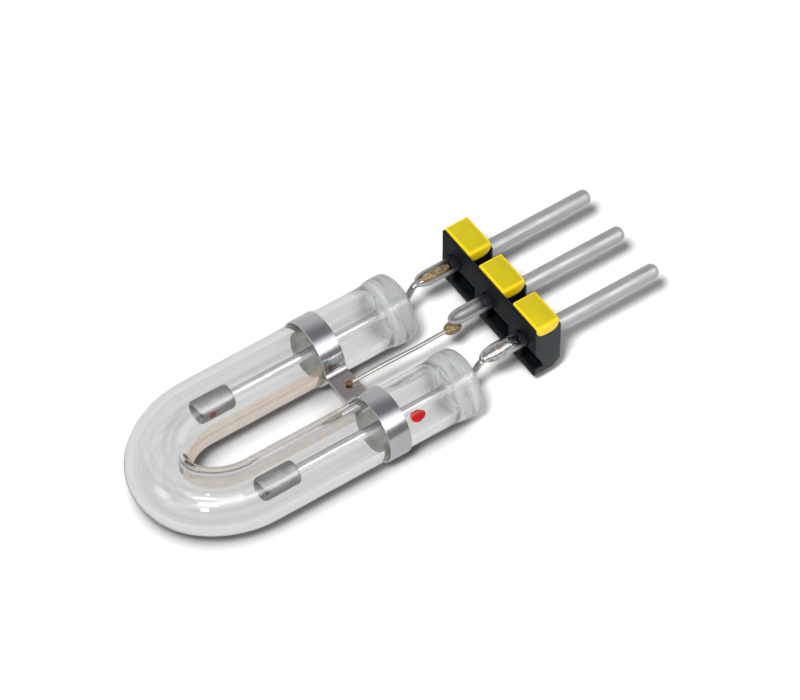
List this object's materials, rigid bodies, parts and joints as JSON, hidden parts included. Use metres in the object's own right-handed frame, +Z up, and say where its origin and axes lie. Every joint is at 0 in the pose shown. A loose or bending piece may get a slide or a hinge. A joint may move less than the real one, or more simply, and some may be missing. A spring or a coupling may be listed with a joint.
{
  "type": "xenon flash tube",
  "caption": "U-shaped glass flash tube with a trigger band round both legs, soldered to a small plug block with round pins.",
  "frame": {"origin": "middle of the overall box, on the surface that the tube lies on", "axes": "+X along the legs from the bend towards the pins, +Y towards the cathode leg, +Z up"},
  "size_m": [0.0632, 0.0204, 0.0093],
  "materials": {
    "tube_glass": "clear, fire polished",
    "bead_glass": "clear sealing glass",
    "tungsten": "ground rod",
    "electrode_metal": "sintered and heat tinted",
    "band_metal": "bright nickel strip",
    "wire_metal": "bright nickel wire",
    "weld_metal": "heat-browned weld",
    "conductive_coat": "clear tinted coating",
    "red_paint": "gloss paint",
    "black_moulding": "satin moulding",
    "yellow_moulding": "satin moulding",
    "tinned_pin": "satin tin plate on brass",
    "solder": "bright solder",
    "fluxed_solder": "solder under brown flux"
  },
  "bodies": {
    "root": {"glass_envelope": "tube_glass", "seal_bead_anode": "bead_glass", "seal_bead_cathode": "bead_glass", "rod_anode": "tungsten", "rod_cathode": "tungsten", "electrode_anode": "electrode_metal", "electrode_cathode": "electrode_metal", "lead_anode": "wire_metal", "lead_cathode": "wire_metal", "trigger_band": "band_metal", "trigger_wire": "wire_metal", "band_weld": "weld_metal", "trigger_stripe": "conductive_coat", "polarity_dot": "red_paint", "plug_block": "black_moulding", "lock_anode": "yellow_moulding", "lock_trigger": "yellow_moulding", "lock_cathode": "yellow_moulding", "contact_anode": "tinned_pin", "contact_trigger": "tinned_pin", "contact_cathode": "tinned_pin", "solder_anode": "solder", "solder_trigger": "fluxed_solder", "solder_cathode": "fluxed_solder"}
  },
  "joints": []
}
